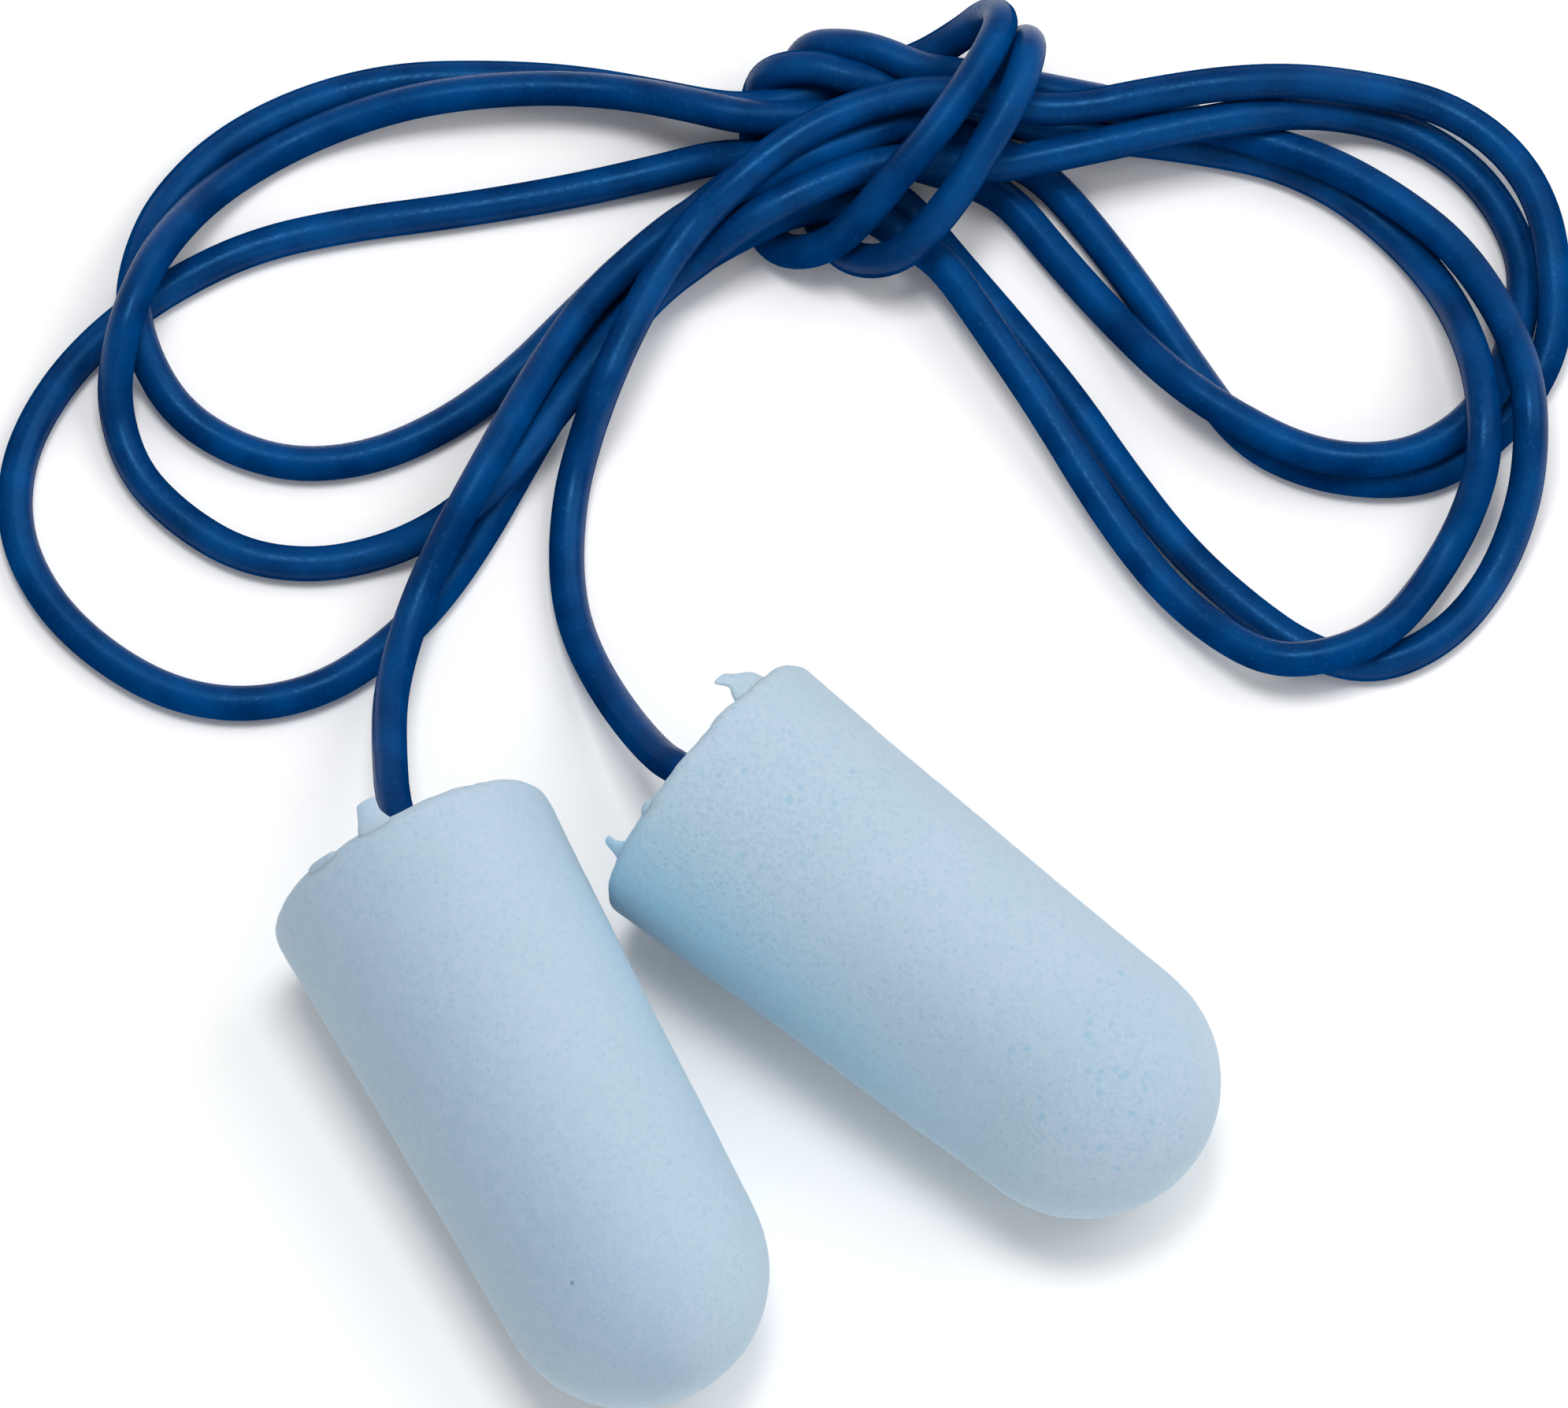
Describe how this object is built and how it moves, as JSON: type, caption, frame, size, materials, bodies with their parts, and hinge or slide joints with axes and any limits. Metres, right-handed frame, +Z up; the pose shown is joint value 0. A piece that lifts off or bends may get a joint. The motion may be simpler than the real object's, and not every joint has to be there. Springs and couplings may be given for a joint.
{
  "type": "corded foam ear plugs",
  "caption": "Pair of tapered soft foam ear plugs with round tips, joined by one thin flexible cord that is folded into a hank and tied across its middle.",
  "frame": {"origin": "on the surface under the middle of the two foam plugs' common bounding box", "axes": "+Z up from the surface the plugs lie on; -Y the way the plugs' round tips point; +X to the right of someone who sees the tips nearest"},
  "size_m": [0.0627, 0.0606, 0.0122],
  "materials": {
    "foam": "matte, soft open-pored foam, pale blue",
    "cord": "smooth, low gloss, dark blue",
    "glue": "clear to cloudy set glue"
  },
  "bodies": {
    "root": {"foam_plug_left": "foam", "foam_plug_right": "foam", "cord_bond_left": "glue", "cord_bond_right": "glue", "cord_leg_left": "cord", "cord_leg_right": "cord", "cord_loop_left_1": "cord", "cord_loop_left_2": "cord", "cord_loop_left_3": "cord", "cord_loop_right_1": "cord", "cord_loop_right_2": "cord", "cord_loop_right_3": "cord", "cord_loop_right_4": "cord", "cord_knot": "cord"}
  },
  "joints": []
}
